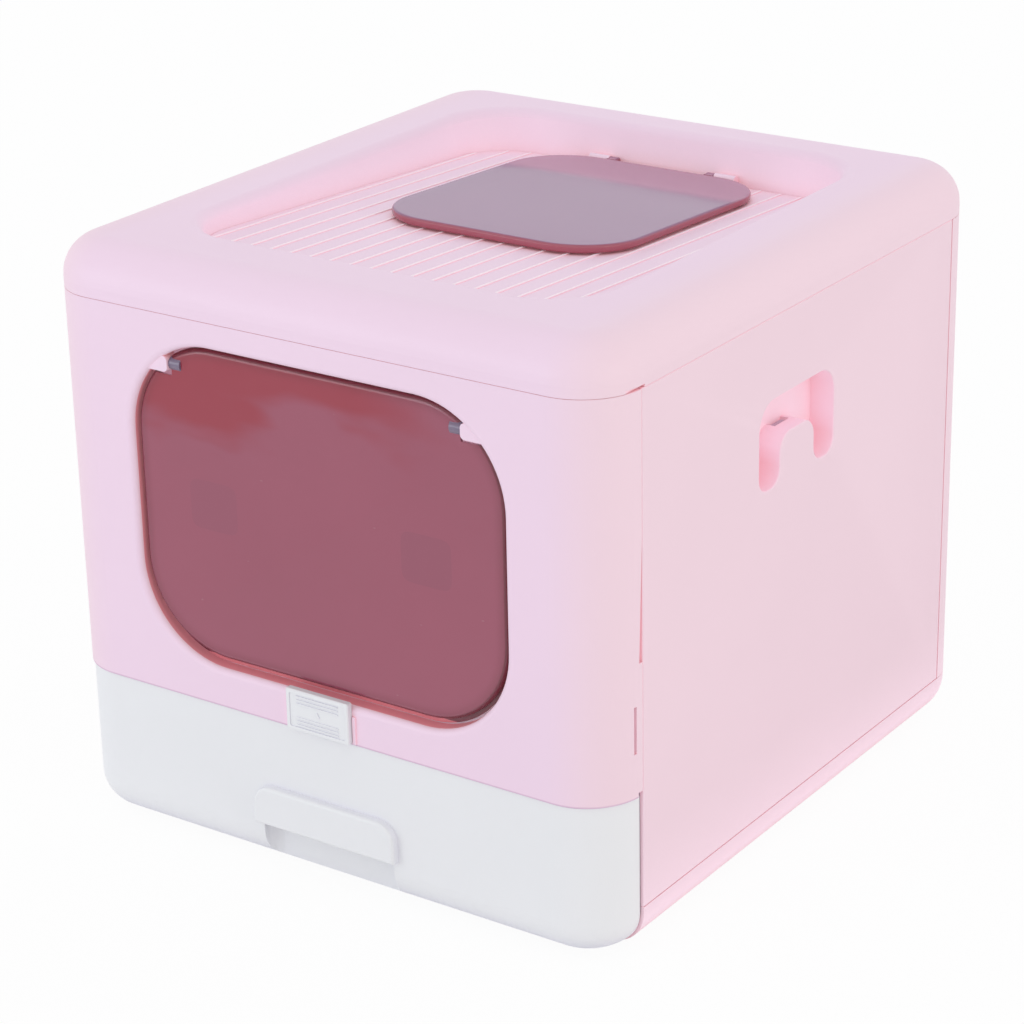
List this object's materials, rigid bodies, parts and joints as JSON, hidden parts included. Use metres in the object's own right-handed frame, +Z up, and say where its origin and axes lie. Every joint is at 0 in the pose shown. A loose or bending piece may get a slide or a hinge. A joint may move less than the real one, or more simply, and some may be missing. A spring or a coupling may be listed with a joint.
{
  "type": "top-entry litter box",
  "caption": "Closed cat litter box with rounded shell, tinted swing door, lift-off lid with a ribbed deck and exit flap, grip pockets, and a pull-out tray with a sliding lock.",
  "frame": {"origin": "on the floor, under the middle of the shell", "axes": "+Z up, -Y out of the front doorway, +X to the right as seen from the front"},
  "size_m": [0.41, 0.453, 0.386],
  "materials": {
    "pink_shell": "satin moulded",
    "pink_base": "satin moulded",
    "pink_lid": "satin moulded",
    "pink_deck": "satin moulded",
    "white_drawer": "satin moulded",
    "white_tray": "satin moulded",
    "white_latch": "satin moulded",
    "front_tint": "polished, tinted clear",
    "top_tint": "polished, tinted clear",
    "pin_steel": "turned",
    "foot_rubber": "matt"
  },
  "bodies": {
    "shell": {"base": "pink_base", "foot_pads": "foot_rubber", "side_panel_left": "pink_shell", "side_panel_right": "pink_shell", "rear_panel": "pink_shell", "front_panel": "pink_shell"},
    "lid": {"lid": "pink_lid", "deck_plate": "pink_deck"},
    "top_flap": {"top_flap": "top_tint", "top_flap_pin_left": "pin_steel", "top_flap_pin_right": "pin_steel"},
    "front_flap": {"front_flap": "front_tint", "front_flap_pin_left": "pin_steel", "front_flap_pin_right": "pin_steel"},
    "drawer": {"drawer_tray": "white_tray", "drawer_front": "white_drawer"},
    "latch": {"latch_button": "white_latch", "latch_keeper": "white_latch"}
  },
  "joints": [
    {"name": "lid_lift", "type": "slide", "parent": "shell", "child": "lid", "axis": [0, 0, 1], "range_m": [0, 0.08]},
    {"name": "top_flap_hinge", "type": "hinge", "parent": "lid", "child": "top_flap", "pos_m": [0, 0.1646, 0.36258], "axis": [-1, 0, 0], "range_deg": [0, 105]},
    {"name": "front_flap_hinge", "type": "hinge", "parent": "shell", "child": "front_flap", "pos_m": [0, -0.2167, 0.3215], "axis": [1, 0, 0], "range_deg": [0, 80]},
    {"name": "drawer_slide", "type": "slide", "parent": "shell", "child": "drawer", "axis": [0, -1, 0], "range_m": [0, 0.38]},
    {"name": "latch_slide", "type": "slide", "parent": "shell", "child": "latch", "axis": [0, 0, -1], "range_m": [0, 0.006]}
  ]
}
